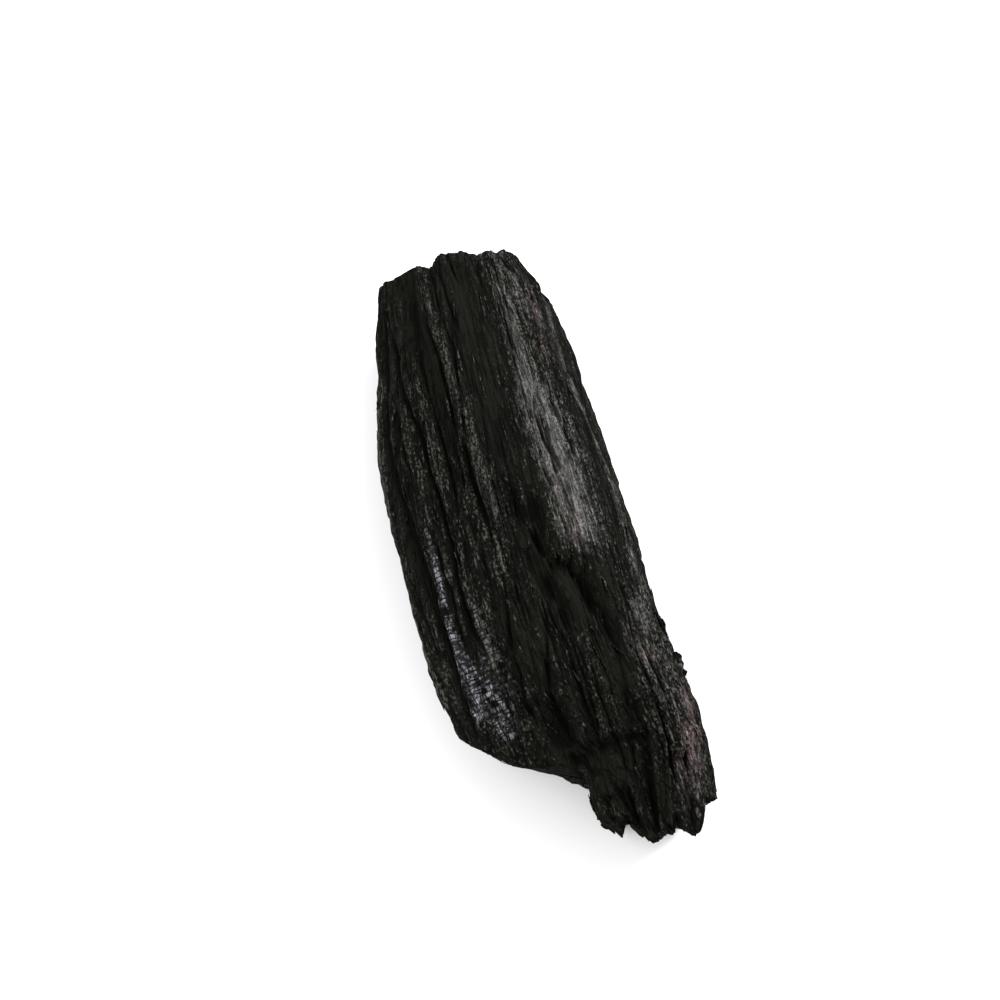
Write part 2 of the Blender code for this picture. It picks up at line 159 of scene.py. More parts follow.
def bundles(place, kind):
    """Space split into cells round scattered points, as big as the kind reaches: how far inside its
    cell each place is, and a number from 0 to 1 of the cell's own."""
    p = reach(place, kind)
    seed = kind["seed"]
    base = np.floor(p)
    first = np.full(p.shape[:-1], np.inf)
    second = np.full(p.shape[:-1], np.inf)
    own = np.zeros(p.shape[:-1])
    for step in np.ndindex(3, 3, 3):
        cell = base + step - 1
        point = cell + np.stack([chance(cell, seed + n) for n in range(3)], -1)
        gap = np.sqrt(((point - p) ** 2).sum(-1))
        nearer = gap < first
        second = np.where(nearer, first, np.minimum(second, gap))
        own = np.where(nearer, chance(cell, seed + 3), own)
        first = np.where(nearer, gap, first)
    return (second - first) / 2, own


def among_fibres(x, y, z):
    """Where a point lies among the fibres, which fan out from the far end: across, up and along."""
    spread = eased(GRAIN_SPREAD, x)
    return np.stack([(y - eased(GRAIN_AXIS_Y, x)) / spread, (z - GRAIN_AXIS_Z) / spread, x + 0 * y], -1)


def swayed(place):
    """The same place, carried sideways by the slow and the quick sway of the grain."""
    quick = QUICK_SWAY["carry"] * swell(place, QUICK_SWAY)
    sway_y = SLOW_SWAY["carry"] * swell(place, SLOW_SWAY) + quick
    sway_z = SLOW_SWAY_UP["carry"] * swell(place, SLOW_SWAY_UP) + quick
    return place + np.stack([sway_y, sway_z, 0 * quick], -1)


def fibre_angles(place):
    """The fibre angle in degrees, swayed a little, and the millimetres that one degree spans there."""
    angle = np.degrees(np.arctan2(place[..., 1], place[..., 0])) % 360
    angle += LINE_SWAY["degrees"] * swell(place, LINE_SWAY)
    return angle, np.hypot(place[..., 0], place[..., 1]) * np.pi / 180


def grain_height(place, grain, fine):
    """The waves of the skin and the steps and cracks between bundles, strands and fibres."""
    out = WAVES["height"] * swell(place, WAVES)
    out += RIPPLES["height"] * swell(place, RIPPLES)
    for kind in (BUNDLE, STRAND, FIBRE) if fine else (BUNDLE,):
        inside, own = bundles(grain, kind)
        out += kind["uneven"] * (own - 0.5)
        out -= kind["crack"] * (1 - ramp(inside, 0, kind["crack_share"]))
    if fine:
        out += CRUMBS["height"] * swell(grain, CRUMBS)
    return out


# Furrows and ribs
# Where gas drove out of the hot wood, long furrows opened along the grain and left round ribs
# between them. Each furrow here follows (x, fibre angle) points, with its half width and depth.
FURROWS = [
    ([(-76, 165), (-35, 164), (-22, 161), (-8, 156), (4, 153), (16, 151)], 1.5, 2.8),
    ([(10, 152), (22, 151), (31, 153), (42, 157), (52, 162)], 0.8, 2.2),
    ([(-76, 161), (-60, 153), (-42, 145), (-31, 140), (-18, 137), (-9, 135), (3, 135), (13, 137),
      (28, 137)], 0.42, 2.4),
    ([(-84, 141), (-65, 134), (-50, 127), (-38, 123), (-26, 121), (-8, 121)], 2.5, 2.0),
    ([(-64, 127), (-50, 118.5), (-39, 116), (-30, 115.5), (-21, 113), (-12, 112), (3, 109)], 0.7, 1.6),
    ([(-54, 135.5), (-44, 132), (-30, 128), (-17, 126), (-6, 125)], 0.45, 1.5),
    ([(-44, 156), (-33, 150.5), (-24, 147.5), (-12, 148)], 0.5, 1.2),
    ([(-4, 142), (8, 142.6), (19, 142.6), (29, 144)], 0.4, 1.9),
    ([(12, 166), (26, 169), (35, 170), (47, 168)], 0.6, 1.3),
    ([(-68, 106), (-56, 101)], 0.4, 0.9),
    ([(-31, 61), (-26, 63), (-18, 63), (-13, 62)], 0.45, 1.7),
    ([(-36, 40), (-28, 40), (-21, 44), (-9, 48)], 0.4, 1.3),
    ([(-68, 32), (-61, 31), (-52, 32)], 0.55, 1.2),
    ([(-58, 30), (-43, 29)], 0.4, 0.8),
    ([(-57, 16), (-40, 17)], 0.4, 1.0),
    ([(-72, 59), (-58, 57), (-46, 57)], 0.4, 0.8),
    ([(-68, 64), (-55, 63), (-46, 63)], 0.35, 0.8),
    ([(-81, 57), (-69, 59)], 0.5, 1.0),
    ([(-12, 42), (0, 41)], 0.4, 0.9),
    ([(-66, 47), (-48, 43), (-38, 40)], 0.5, 0.8),
    ([(-20, 52), (2, 50)], 0.4, 0.7),
    ([(-78, 74), (-60, 76)], 0.6, 0.7),
    ([(-76, 108), (-46, 103), (-30, 101)], 0.7, 0.8),
    ([(20, 38), (30, 39), (38, 40)], 0.45, 1.1),
    ([(40, 42), (48, 43), (56, 42), (62, 41), (74, 39)], 0.5, 2.2),
    ([(44, 35), (56, 32)], 0.45, 1.1),
    ([(26, 57), (33, 54), (41, 54), (50, 56), (60, 59)], 1.6, 1.8),
    ([(50, 57), (59, 56), (66, 55)], 0.5, 0.8),
    ([(28, 95), (38, 100), (48, 107), (58, 110)], 0.6, 1.4),
    ([(40, 87), (52, 88), (60, 88)], 0.5, 1.2),
    ([(44, 77), (60, 76), (70, 75)], 0.4, 0.9),
    ([(20, 112), (34, 118), (52, 124)], 0.5, 0.9),
    ([(72, 80), (84, 79)], 0.4, 1.2),
    ([(70, 88), (80, 87)], 0.5, 1.2),
    ([(70, 58), (82, 57)], 0.5, 0.7),
    ([(-60, 205), (-20, 200), (20, 204)], 0.9, 1.6),
    ([(-30, 225), (10, 222), (50, 228)], 0.6, 1.2),
    ([(-70, 338), (-30, 342), (10, 340)], 0.8, 1.5),
    ([(-10, 322), (30, 318), (66, 322)], 0.7, 1.4),
    ([(-76, 12), (-40, 14), (-10, 12)], 0.6, 1.0),
    ([(10, 356), (40, 358), (70, 355)], 0.8, 1.3),
    ([(-50, 250), (-10, 256), (30, 252)], 0.6, 1.0),
    ([(-20, 290), (20, 284), (60, 288)], 0.6, 1.0),
]
RIBS = [
    ([(-10, 146), (11, 146), (38, 147), (50, 147)], 1.8, 1.1),
    ([(-82, 124), (-64, 119), (-51, 114), (-32, 108), (-20, 106), (2, 103)], 2.0, 0.9),
    ([(-76, 176), (-20, 178), (36, 178)], 2.4, 0.8),
    ([(-76, 66), (-46, 69), (-10, 79)], 2.5, 0.5),
]
FURROW_ENDS = (-3, 7)
RIB_ENDS = (-4, 6)


def along(path, x):
    """The fibre angle of a path at x, and how far x lies inside the path's two ends."""
    path_x, path_angle = np.array(path, float).T
    return np.interp(x, path_x, path_angle), np.minimum(x - path_x[0], path_x[-1] - x)


def furrow_depth(x, fibre_angle, one_degree):
    """How deep the furrows cut: depth / (1 + (distance / half width)^3) summed over the furrows."""
    out = np.zeros(x.shape)
    for path, half_width, depth in FURROWS:
        middle, inside = along(path, x)
        turn = (fibre_angle - middle + 180) % 360 - 180
        away = np.abs(turn) * one_degree / half_width
        out += depth * ramp(inside, *FURROW_ENDS) / (1 + away ** 3)
    return out


def rib_height(x, fibre_angle, one_degree):
    """How high the ribs stand: height * exp(-(distance / half width)^2) summed over the ribs."""
    out = np.zeros(x.shape)
    for path, half_width, height in RIBS:
        middle, inside = along(path, x)
        away = (fibre_angle - middle) * one_degree / half_width
        out += height * ramp(inside, *RIB_ENDS) * np.exp(-away ** 2)
    return out


# Broken places
# Char is brittle. A layer has split off the middle of the near half round a knot, upper layers end
# in ledges, the left side has broken across, and both ends have snapped fibre by fibre.
SPLIT_LAYER = {
    "edge": [(-12, 96), (-6, 91), (0, 87), (4, 85), (10, 81), (14, 79), (17, 73), (20, 63), (27, 60),
             (31, 54), (36, 52), (44, 55), (52, 57), (60, 62), (84, 76)],
    "thickness": [(-12, 0), (-2, 2.4), (20, 2.5), (34, 1.6), (60, 1.2), (84, 0.8)],
    "ragged": 2.0, "thins": (88, 118)}
# A hollow has its (x, fibre angle) spot, half length, half width and depth, below zero for a swelling.
HOLLOWS = [
    ((4, 81), 9, 2.6, 3.0),
    ((14, 91), 5, 3.0, 1.6),
    ((21, 88), 5, 2.6, 2.2),
    ((30, 80), 4.5, 2.8, 1.3),
    ((25, 73), 8, 4.6, -1.2),
    ((25, 61), 6, 2.2, 1.2),
    ((35, 56), 5, 3.0, 0.7),
    ((56, 110), 6, 4.5, 2.8),
    ((46, 20), 1.6, 1.5, -1.9),
    ((37, 18), 0.9, 0.8, -1.0),
    ((-78, 40), 6, 3.0, 1.2),
]
# A ledge has its x, the two fibre angles that it lies between, its height and how ragged it is.
LEDGES = [
    (61.5, 54, 112, 2.4, 0.9),
    (72.5, 76, 112, 1.8, 0.9),
    (54.5, 46, 58, 1.0, 0.8),
    (67.5, 29, 42, 1.6, 1.0),
    (50.0, 104, 128, 1.1, 2.5),
    (18.0, 60, 68, 0.9, 3.0),
]
SPLINTER = {"across": 1.9, "along": 9999, "seed": 31}
LEDGE_FALL = 0.5
LAYER_FALL = 0.7
LEDGE_SIDE = 2
HOLLOW_ENDS = (0.3, 1.2)
CUT_EDGE = [(20, -60), (36.6, -36), (41, -30.5), (48, -28.4), (53, -25.4), (57.4, -21.5),
            (61.2, -16), (63.4, -11), (64.6, -6.8), (66.2, -5.4), (75, -4.4), (84, -3.6)]
CUT_TOP = [(38, 14), (43, 16), (51, 22.5), (60, 27), (67, 31), (84, 27)]
CUT_LEAN = [(40, 0.55), (46, 0.75), (59, 0.8), (66, 0.3), (84, 0.15)]
CUT_UNEVEN = {"across": 4, "along": 6, "height": 1.1, "seed": 72}
FAR_END = {
    "line": [(-20, -79.4), (-16, -83.4), (-13, -84.8), (-9, -83.4), (-5, -82.2), (-1, -80.1), (1, -80.1),
             (3.5, -82.2), (9, -82.4), (13, -78.7), (17, -80.4), (22, -82.8), (24.5, -81), (26, -75.7),
             (28.5, -69.6), (32, -63)],
    "lean": 0.10, "top": 30, "uneven": 1.1, "frayed": 0.15, "outward": -1}
NEAR_END = {
    "line": [(-8, 70), (-4.5, 74.5), (-3, 76.2), (-1.2, 78), (0.7, 80.8), (1.5, 78.2), (2.4, 77.4),
             (5.2, 78.4), (5.8, 81), (6.8, 84), (9.9, 83.6), (10.6, 82.4), (12.2, 83.2), (12.7, 80.4),
             (13.8, 80.2), (14.5, 82.8), (16.5, 85.2), (18.8, 84), (20.4, 81.2), (21.5, 78.4),
             (24.8, 77.8), (26.2, 75), (28, 71), (32, 66)],
    "lean": 0.5, "top": 20, "uneven": 1.0, "frayed": 0.9, "outward": 1}
SNAPPED = {"across": 4, "along": 1, "seed": 71}
SNAPPED_STRANDS = {"across": 1.6, "along": 1, "uneven": 1.3, "seed": 73}
SNAPPED_FIBRES = {"across": 0.6, "along": 1, "uneven": 0.5, "seed": 76}
FAR_AWAY = 999
RIM_STEPS = 8


def fray(flat):
    """How unevenly the strands and fibres of a break snapped: uneven * (the cell's own number - 1/2),
    summed over the two kinds."""
    return sum(kind["uneven"] * (bundles(flat, kind)[1] - 0.5) for kind in (SNAPPED_STRANDS, SNAPPED_FIBRES))


def cut_radius(angle, x, fine):
    """The way from the core line out to the break across the left side, a plane that leans in below
    its upper edge, or very far where the break doesn't lie that way."""
    core_y, core_z = core(x)
    lean = eased(CUT_LEAN, x)
    edge_x, edge_y = np.array(CUT_EDGE, float).T
    inside = core_y - np.interp(x, edge_x, edge_y) - lean * (eased(CUT_TOP, x) - core_z)
    toward = -(np.cos(angle) + lean * np.sin(angle))
    r = inside / np.maximum(toward, inside / FAR_AWAY)
    place = np.stack([r * np.cos(angle), r * np.sin(angle), x + 0 * r], -1)
    out = r + CUT_UNEVEN["height"] * swell(place, CUT_UNEVEN)
    if fine:
        out += fray(place * [1, 1, 0])
    return out


def end_face(y, z, end, fine):
    """The x of a broken end at y and z: its line seen from above, leaning in below its upper edge,
    with bundles, strands and fibres snapped at uneven lengths."""
    line_y, line_x = np.array(end["line"], float).T
    flat = np.stack([y, z, 0 * y], -1)
    inward = end["lean"] * np.maximum(end["top"] - z, 0) + end["uneven"] * swell(flat, SNAPPED)
    if fine:
        inward = inward + end["frayed"] * fray(flat)
    return np.interp(y, line_y, line_x) - end["outward"] * inward


def end_rim(angle, end, fine):
    """The x where the sides meet a broken end, found by half steps from the end's line to its face."""
    x = np.full(angle.shape, np.mean(end["line"], axis=0)[1])
    for _ in range(RIM_STEPS):
        core_y, core_z = core(x)
        r = np.minimum(section_radius(angle, x), cut_radius(angle, x, fine))
        x = (x + end_face(core_y + r * np.cos(angle), core_z + r * np.sin(angle), end, fine)) / 2
    return x


def broken_depth(x, fibre_angle, one_degree, grain):
    """How much has broken away: the split layer past its ragged edge, the hollows about their spots,
    and the ledges from their own x on, each splinter ending at its own place."""
    _, splinter = bundles(grain, SPLINTER)
    edge_x, edge_angle = np.array(SPLIT_LAYER["edge"], float).T
    ragged_x = x - 2 * SPLIT_LAYER["ragged"] * (splinter - 0.5)
    past_edge = (fibre_angle - np.interp(ragged_x, edge_x, edge_angle)) * one_degree
    lost = ramp(past_edge, -LAYER_FALL, LAYER_FALL) * (1 - ramp(fibre_angle, *SPLIT_LAYER["thins"]))
    out = eased(SPLIT_LAYER["thickness"], x) * lost
    for (spot_x, spot_angle), half_length, half_width, depth in HOLLOWS:
        aside = (fibre_angle - spot_angle) * one_degree
        away = np.hypot((x - spot_x) / half_length, aside / half_width)
        out += depth * (1 - ramp(away, *HOLLOW_ENDS))
    for ledge_x, low, high, height, ragged in LEDGES:
        start = ledge_x + (splinter - 0.5) * 2 * ragged
        beside = ramp(fibre_angle, low - LEDGE_SIDE, low)
        beside *= 1 - ramp(fibre_angle, high, high + LEDGE_SIDE)
        out += height * ramp(x, start - LEDGE_FALL, start + LEDGE_FALL) * beside
    return out


# The soot
# Soot settled as a soft dull dust in the hollows and on some flats, and smoothed them over. Each
# patch follows (x, fibre angle) points, with its half width and strength.
DUSTED = [
    ([(-86, 141), (-65, 134), (-50, 127), (-38, 123), (-24, 121)], 2.6, 1.0),
    ([(-70, 165), (-35, 164), (-22, 161), (-8, 157), (4, 155), (16, 152)], 1.8, 1.0),
    ([(10, 152), (22, 151), (31, 154), (42, 158), (52, 163)], 0.9, 0.9),
    ([(-76, 99), (-50, 93), (-30, 91), (-14, 89)], 4.5, 0.85),
    ([(-84, 84), (-60, 82), (-44, 82)], 3.5, 0.5),
    ([(-12, 82), (-4, 80), (10, 80), (16, 80)], 2.4, 0.7),
    ([(4, 90), (14, 90), (22, 88)], 3.0, 1.0),
    ([(16, 84), (24, 76), (34, 66)], 4.6, 1.0),
    ([(20, 64), (28, 57), (38, 53), (48, 55)], 2.4, 1.0),
    ([(42, 54), (56, 59)], 1.9, 0.8),
    ([(20, 50), (31, 47)], 2.5, 0.5),
    ([(28, 104), (40, 108), (52, 112)], 3.2, 0.6),
    ([(50, 112), (58, 108), (66, 100)], 4.0, 1.0),
    ([(61, 96), (74, 90)], 5.5, 0.9),
    ([(62, 76), (74, 72)], 4.5, 0.8),
    ([(68, 56), (82, 44)], 6.0, 0.9),
]
PATCH_ENDS = (-6, 8)
SMOOTHED = 0.7


def patches(kind, x, fibre_angle, one_degree):
    """The strength of a kind's patches, 1 - product of (1 - patch), and each patch by itself; a
    patch fades as exp(-(distance / half width)^2)."""
    each = []
    for path, half_width, strength, *_ in kind:
        middle, inside = along(path, x)
        turn = (fibre_angle - middle + 180) % 360 - 180
        each.append(strength * ramp(inside, *PATCH_ENDS) * np.exp(-(turn * one_degree / half_width) ** 2))
    each = np.array(each)
    return 1 - np.prod(1 - each, axis=0), each


# The skin
# The whole outside in one closed skin of rings, with a broken face at each end. It is drawn twice:
# coarsely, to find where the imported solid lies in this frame, and finely, to be seen.
COARSE = {"round": 116, "along": 40, "end": 4, "fine": False}
FINE = {"round": 470, "along": 172, "end": 19, "fine": True}
CROWD_TOP = 0.30
CROWD_NEAR = 0.08
STEP_FADES = 8


def end_rings(rim, end, count, fine):
    """The rings and the middle point of a broken end, drawn in from its rim."""
    share = np.linspace(1, 0, count + 1)[1:-1, None]
    middle_y = rim[:, 1].mean()
    middle_z = rim[:, 2].mean()
    y = middle_y + (rim[:, 1] - middle_y) * share
    z = middle_z + (rim[:, 2] - middle_z) * share
    step_at_rim = rim[:, 0] - end_face(rim[:, 1], rim[:, 2], end, fine)
    x = end_face(y, z, end, fine) + step_at_rim * share ** STEP_FADES
    middle_x = end_face(np.array([middle_y]), np.array([middle_z]), end, fine)[0]
    return np.stack([x, y, z], -1), [middle_x, middle_y, middle_z]


def skin(grid):
    """The rings of the skin from the far end to the near one, r = section + grain + ribs - furrows -
    broken places and no further than the cut, and the two middle points."""
    fine = grid["fine"]
    turn = np.linspace(0, 2 * np.pi, grid["round"], endpoint=False)
    angle = turn + CROWD_TOP * np.cos(turn)
    v = np.linspace(0, 1, grid["along"])[:, None]
    v = v + CROWD_NEAR * np.sin(np.pi * v)
    x = end_rim(angle, FAR_END, fine) * (1 - v) + end_rim(angle, NEAR_END, fine) * v
    core_y, core_z = core(x)
    r = section_radius(angle, x)
    place = among_fibres(x, core_y + r * np.cos(angle), core_z + r * np.sin(angle))
    grain = swayed(place)
    fibre_angle, one_degree = fibre_angles(place)
    smooth = SMOOTHED * patches(DUSTED, x, fibre_angle, one_degree)[0] if fine else 0
    r = r + grain_height(place, grain, fine) * (1 - smooth)
    r = r + rib_height(x, fibre_angle, one_degree) - furrow_depth(x, fibre_angle, one_degree)
    r = r - broken_depth(x, fibre_angle, one_degree, grain)
    r = np.minimum(r, cut_radius(angle, x, fine))
    z = np.maximum(core_z + r * np.sin(angle), RUBBED_FLAT)
    sides = np.stack([x, core_y + r * np.cos(angle), z], -1)
    far_rings, far_middle = end_rings(sides[0], FAR_END, grid["end"], fine)
    near_rings, near_middle = end_rings(sides[-1], NEAR_END, grid["end"], fine)
    return np.concatenate([far_rings[::-1], sides, near_rings]), far_middle, near_middle


def skin_points(grid):
    """All the skin's points in a row, the two middle points last, and how many rings there are."""
    rings, far_middle, near_middle = skin(grid)
    return np.concatenate([rings.reshape(-1, 3), [far_middle, near_middle]]), len(rings)


def closed_faces(ring_count, round_count):
    """The faces round a closed skin of rings: quads from ring to ring, and a fan at each end to a
    middle point. The two middle points are numbered last."""
    ring, k = np.meshgrid(np.arange(ring_count - 1), np.arange(round_count), indexing="ij")
    here = ring * round_count
    after = (k + 1) % round_count
    corners = [here + k, here + after, here + round_count + after, here + round_count + k]
    k = np.arange(round_count)
    after = (k + 1) % round_count
    last = (ring_count - 1) * round_count
    middle = np.full(round_count, ring_count * round_count)
    far_fan = np.stack([middle, after, k], -1)
    near_fan = np.stack([middle + 1, last + k, last + after], -1)
    return np.stack(corners, -1).reshape(-1, 4).tolist() + far_fan.tolist() + near_fan.tolist()


coarse_points, _ = skin_points(COARSE)
coarse_box = coarse_points.min(0), coarse_points.max(0)
FORM_ORIGIN = np.array([(coarse_box[0][0] + coarse_box[1][0]) / 2,
                        (coarse_box[0][1] + coarse_box[1][1]) / 2, coarse_box[0][2]])

points, ring_count = skin_points(FINE)
per_ring = FINE["round"]
mesh = bpy.data.meshes.new("charcoal_skin")
mesh.from_pydata(((points - FORM_ORIGIN) * MM).tolist(), [], closed_faces(ring_count, per_ring))
mesh.shade_smooth()
lump = bpy.data.objects.new("charcoal_skin", mesh)
bpy.context.scene.collection.objects.link(lump)

# The sheen and the flecks, with painted sheen, glints and shade
# Gas laid a hard film of carbon on the char, which shines like pencil lead. Its gloss is
# real, but its bright bluish or rosy colour, and the light on the facet facing the lamps,
# are painted sheen. Bare fibre ends show as grey flecks, which paint in some glints too.
# Each patch follows (x, fibre angle) points, with its half width, its strength and, for
# sheen, its rosiness. A worm hole has its spot and its radius, and is painted dark as the
# shade inside it.
# Painted sheen: each patch lightens the colour where the glossy film would reflect light.
SHEEN = [
    ([(-3, 144.4), (8, 145.2), (18, 145.6), (32, 147)], 0.6, 1.4, -1),
    ([(27, 147), (34, 147.5), (40, 149), (46, 150)], 1.7, 1.4, -1),
    ([(34, 144), (42, 142), (48, 141), (54, 142)], 2.6, 1.1, -0.8),
    ([(-2, 140), (8, 140), (20, 140.2)], 0.6, 1.0, -0.4),
    ([(18, 130), (27, 131), (36, 132), (44, 129)], 2.4, 0.75, -0.35),
    # The next patches lie on the right facet that faces the lamps, and paint its light in as sheen.
    ([(-72, 58), (-44, 61), (-26, 62)], 3.2, 0.66, 0.0),
    ([(-36, 60), (-18, 60), (-2, 60), (14, 63)], 5.4, 0.88, 0.15),
    ([(-16, 59), (-4, 61), (11, 62)], 2.2, 0.4, 1.4),
    ([(-86, 42), (-70, 44), (-58, 40)], 5.5, 0.34, 0.3),
    ([(-70, 28), (-56, 31), (-40, 38)], 3.2, 0.36, 1.0),
    ([(-72, 12), (-50, 19), (-34, 18), (-14, 18), (7, 22), (28, 20)], 2.0, 0.5, 0.2),
    ([(-34, 40), (-10, 44), (18, 49)], 4.0, 0.3, 0.1),
    ([(24, 30), (36, 34), (50, 38)], 5.5, 0.52, 0.3),
    ([(48, 19), (60, 22), (74, 22)], 3.6, 0.6, 1.5),
    ([(66, 28), (84, 29)], 3.0, 0.4, 0.7),
]
FLECKED = [
    ([(-80, 125), (-64, 119), (-51, 114), (-32, 107), (-19, 105), (4, 102)], 3.0, 0.85),
    ([(-20, 112), (0, 110), (20, 112)], 4.0, 0.85),
    ([(-86, 50), (-40, 50), (14, 58)], 10.0, 1.0),
    ([(-60, 172), (0, 173), (38, 173)], 3.5, 0.9),
    ([(12, 157), (24, 159), (40, 166)], 1.6, 0.9),
    ([(-50, 145), (-20, 142), (0, 147)], 2.5, 0.6),
    ([(-50, 136), (-20, 131), (10, 130), (40, 130)], 3.5, 0.75),
    ([(36, 152), (58, 134)], 6.0, 0.75),
    ([(10, 18), (40, 22), (84, 26)], 8.0, 0.9),
    ([(46, 44), (58, 38), (68, 34)], 4.0, 1.0),
    ([(34, 76), (48, 76), (62, 75)], 4.5, 0.4),
    ([(72, 94), (84, 88)], 3.0, 0.9),
    ([(74, 62), (84, 60)], 4.0, 1.0),
    ([(-70, 345), (70, 350)], 8.0, 0.6),
    ([(-60, 300), (0, 306), (60, 296)], 6.0, 0.6),
    ([(-60, 222), (0, 214), (60, 225)], 6.0, 0.6),
    ([(-60, 262), (60, 255)], 6.0, 0.6),
]
HOLES = [
    ((18, 145), 1.3),
    ((36, 128), 1.0),
    ((40, 143), 0.9),
    ((44, 140), 1.0),
    ((-21, 167), 1.0),
    ((-13, 21), 0.9),
]
HOLE_DEPTH = 1.0
CAVITY = {"across": 10, "along": 3}
DEGREE_SPAN = 0.5


def sunk(rings, across, along):
    """How far each point lies nearer the core line than the mean of the points round it, which is
    above zero in furrows and below it on ridges. The material paints shade in the hollows from it."""
    core_y, core_z = core(rings[..., 0])
    r = np.hypot(rings[..., 1] - core_y, rings[..., 2] - core_z)
    mean = sum(np.roll(r, k, 1) for k in range(-across, across + 1)) / (2 * across + 1)
    padded = np.pad(mean, ((along, along), (0, 0)), mode="edge")
    return sum(padded[k:k + len(r)] for k in range(2 * along + 1)) / (2 * along + 1) - r


def mark(mesh, place, values):
    """Stores on a mesh's points where they lie among the fibres, along, across and up, and their
    other values by name, for the material to read."""
    mesh.attributes.new("grain", "FLOAT_VECTOR", "POINT").data.foreach_set(
        "vector", swayed(place)[:, [2, 0, 1]].astype(np.float32).ravel())
    for name, value in values.items():
        value = np.broadcast_to(value, len(place)).astype(np.float32)
        mesh.attributes.new(name, "FLOAT", "POINT").data.foreach_set("value", value)


skin_place = among_fibres(*points.T)
skin_angle, one_degree = fibre_angles(skin_place)
rings = points[:-2].reshape(ring_count, per_ring, 3)
skin_sheen, each_sheen = patches(SHEEN, points[:, 0], skin_angle, one_degree)
rosiness = np.array([patch[3] for patch in SHEEN])
on_side = np.zeros(len(points))
first_on_side = (FINE["end"] - 1) * per_ring
on_side[first_on_side:first_on_side + FINE["along"] * per_ring] = 1
skin_values = {
    "sheen": skin_sheen * on_side,
    "tint": rosiness @ each_sheen / np.maximum(each_sheen.sum(0), 1e-6),
    "flecked": patches(FLECKED, points[:, 0], skin_angle, one_degree)[0] * on_side,
    "dusted": patches(DUSTED, points[:, 0], skin_angle, one_degree)[0] * on_side,
    # sunk: how far a point lies below the points round it; the material paints shade from it.
    "sunk": np.append(sunk(rings, **CAVITY).ravel(), [0, 0]) * on_side,
}
mark(mesh, skin_place, skin_values)


def nearest(spot):
    """The number of the skin point nearest a spot, given as (x, fibre angle). A degree is taken to
    span half a millimetre."""
    ahead = np.abs(points[:-2, 0] - spot[0])
    return np.argmin(ahead + DEGREE_SPAN * np.abs(skin_angle[:-2] - spot[1]))


class Wire:
    """One socket of a material's nodes. + - and * between it and other values add Math nodes."""

    def __init__(self, tree, socket):
        self.tree = tree
        self.socket = socket

    def node(self, kind, settings=(), inputs=(), output=0):
        """A node of the given kind: its settings are set first, then its sockets, by name or number."""
        made = self.tree.nodes.new("ShaderNode" + kind)
        for key, value in dict(settings).items():
            setattr(made, key, value)
        for key, value in dict(inputs).items():
            if isinstance(value, Wire):
                self.tree.links.new(value.socket, made.inputs[key])
            else:
                made.inputs[key].default_value = value
        return Wire(self.tree, made.outputs[output])

    def math(self, operation, first, second=0.0):
        """A Math node on two numbers."""
        return self.node("Math", {"operation": operation}, {0: first, 1: second})

    def __add__(self, other):
        return self.math("ADD", self, other)

    def __radd__(self, other):
        return self.math("ADD", other, self)

    def __sub__(self, other):
        return self.math("SUBTRACT", self, other)

    def __rsub__(self, other):
        return self.math("SUBTRACT", other, self)

    def __mul__(self, other):
        return self.math("MULTIPLY", self, other)

    def __rmul__(self, other):
        return self.math("MULTIPLY", other, self)

    def rise(self, low, high):
        """0 below low, 1 above high and a smooth rise between."""
        return self.node("MapRange", {"interpolation_type": "SMOOTHSTEP"},
                         {"Value": self, "From Min": low, "From Max": high})

    def line(self, half_width):
        """1 where this noise passes its middle 0.5, falling to 0 at a half width from it."""
        return 1 - self.math("ABSOLUTE", self - 0.5).rise(0.0, half_width)

    def mixed(self, first, second):
        """The first colour where this is 0 and the second where it is 1."""
        return self.node("Mix", {"data_type": "RGBA"}, {"Factor": self, 6: first, 7: second}, 2)

    def carried(self, by, y, z):
        """This place carried across and up by a noise, less its middle 0.5, times y and z."""
        shift = self.node("CombineXYZ", {}, {1: (by - 0.5) * y, 2: (by - 0.5) * z})
        return self.node("VectorMath", {"operation": "ADD"}, {0: self, 1: shift})

    def stretched(self, along, across):
        """This place in steps of a given number of millimetres along and across the grain."""
        steps = (1 / along, 1 / across, 1 / across)
        return self.node("VectorMath", {"operation": "MULTIPLY"}, {0: self, 1: steps})

    def noise(self, along, across, detail=2.0):
        """Smooth noise about 0.5 whose waves have the given lengths along and across the grain."""
        return self.node("TexNoise", {},
                         {"Vector": self.stretched(along, across), "Scale": 1.0, "Detail": detail})

    def cell_edge(self, along, across):
        """How far inside a cell of the given size each place lies, 0 on its edge."""
        return self.node("TexVoronoi", {"feature": "DISTANCE_TO_EDGE"},
                         {"Vector": self.stretched(along, across), "Scale": 1.0})

    def cell_own(self, along, across):
        """A number from 0 to 1 of each cell's own, for cells of the given size."""
        colour = self.node("TexVoronoi", {}, {"Vector": self.stretched(along, across), "Scale": 1.0}, 1)
        return self.node("SeparateColor", {}, {0: colour})

    def round_spot(self, centre, radius):
        """1 within a round spot about a centre, falling to 0 at its radius."""
        away = self.node("VectorMath", {"operation": "DISTANCE"}, {0: self, 1: centre}, 1)
        return 1 - away.rise(radius * 0.6, radius)


# Soot black: the char's own darkest tone, also painted in as shade in the hollows and the holes.
SOOT_AND_PAINTED_SHADE = (0.0017, 0.0018, 0.0010, 1)
DUST = (0.0050, 0.0052, 0.0033, 1)
CHAR = (0.0076, 0.0078, 0.0051, 1)
GREY = (0.044, 0.044, 0.036, 1)
